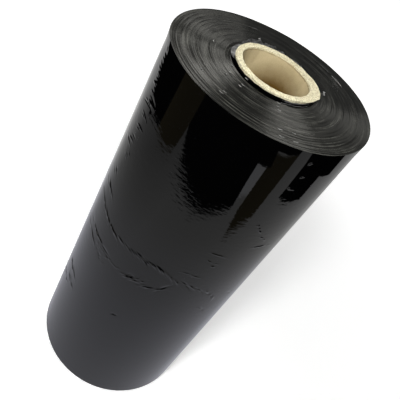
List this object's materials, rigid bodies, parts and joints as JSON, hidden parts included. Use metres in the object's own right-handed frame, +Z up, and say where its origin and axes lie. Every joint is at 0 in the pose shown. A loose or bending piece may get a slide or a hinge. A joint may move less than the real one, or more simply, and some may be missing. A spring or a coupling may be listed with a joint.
{
  "type": "stretch wrap roll",
  "caption": "Wide roll of glossy black stretch film wound on a paper core tube that stands slightly proud at each end; spins on a mandrel to wrap pallets.",
  "frame": {"origin": "on the roll's axis, at the foot of the core tube, which is what the standing roll rests on", "axes": "+Z up the roll's axis; -Y towards the side with the creases, +Y towards the loose end of the web"},
  "size_m": [0.2222, 0.2224, 0.517],
  "materials": {
    "core_board": "matte wound paperboard",
    "black_film": "glossy black stretch film, slightly creased"
  },
  "bodies": {
    "root": {"core_tube": "core_board", "film_roll": "black_film"}
  },
  "joints": []
}
